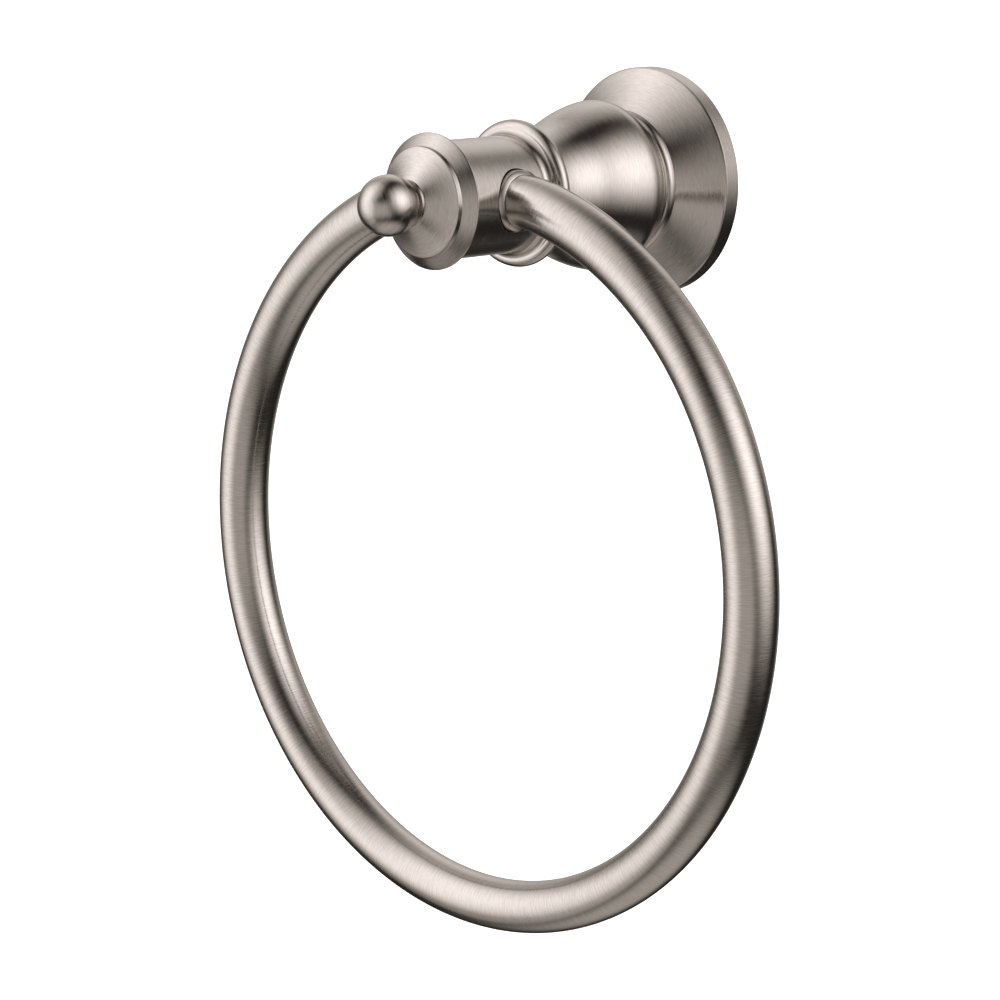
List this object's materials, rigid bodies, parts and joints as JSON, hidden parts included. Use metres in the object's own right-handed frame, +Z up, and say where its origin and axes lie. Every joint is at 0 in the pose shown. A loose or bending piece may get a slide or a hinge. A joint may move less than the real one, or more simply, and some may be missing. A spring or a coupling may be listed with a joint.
{
  "type": "towel ring",
  "caption": "Wall mounted towel ring: a turned post with a ball finial, a cross bored arm, a bell and a round rose carries a freely swinging ring of tube.",
  "frame": {"origin": "centre of the rose's back, in the wall plane and on the post axis, midway between the two slots of the wall plate", "axes": "+Y points into the wall, so the front faces -Y; +Z is up and the ring hangs towards -Z; +X is to the right for someone facing the wall"},
  "size_m": [0.177, 0.092, 0.196],
  "materials": {
    "satin_metal": "brushed nickel plate on brass, satin",
    "bearing_brass": "plain turned brass",
    "fixing_steel": "zinc plated steel"
  },
  "bodies": {
    "post": {"arm": "satin_metal", "finial": "satin_metal", "cap": "satin_metal", "bell": "satin_metal", "rose": "satin_metal", "pivot_pin": "fixing_steel", "tie_rod": "fixing_steel", "washer": "fixing_steel", "nut": "fixing_steel", "wall_plate": "fixing_steel", "grub_screw": "fixing_steel"},
    "hanging_ring": {"ring": "satin_metal", "end_plug_right": "bearing_brass", "end_plug_left": "bearing_brass"}
  },
  "joints": [
    {"name": "ring_swing", "type": "hinge", "parent": "post", "child": "hanging_ring", "pos_m": [0, -0.0572, 0], "axis": [1, 0, 0], "range_deg": [-198, 18]}
  ]
}
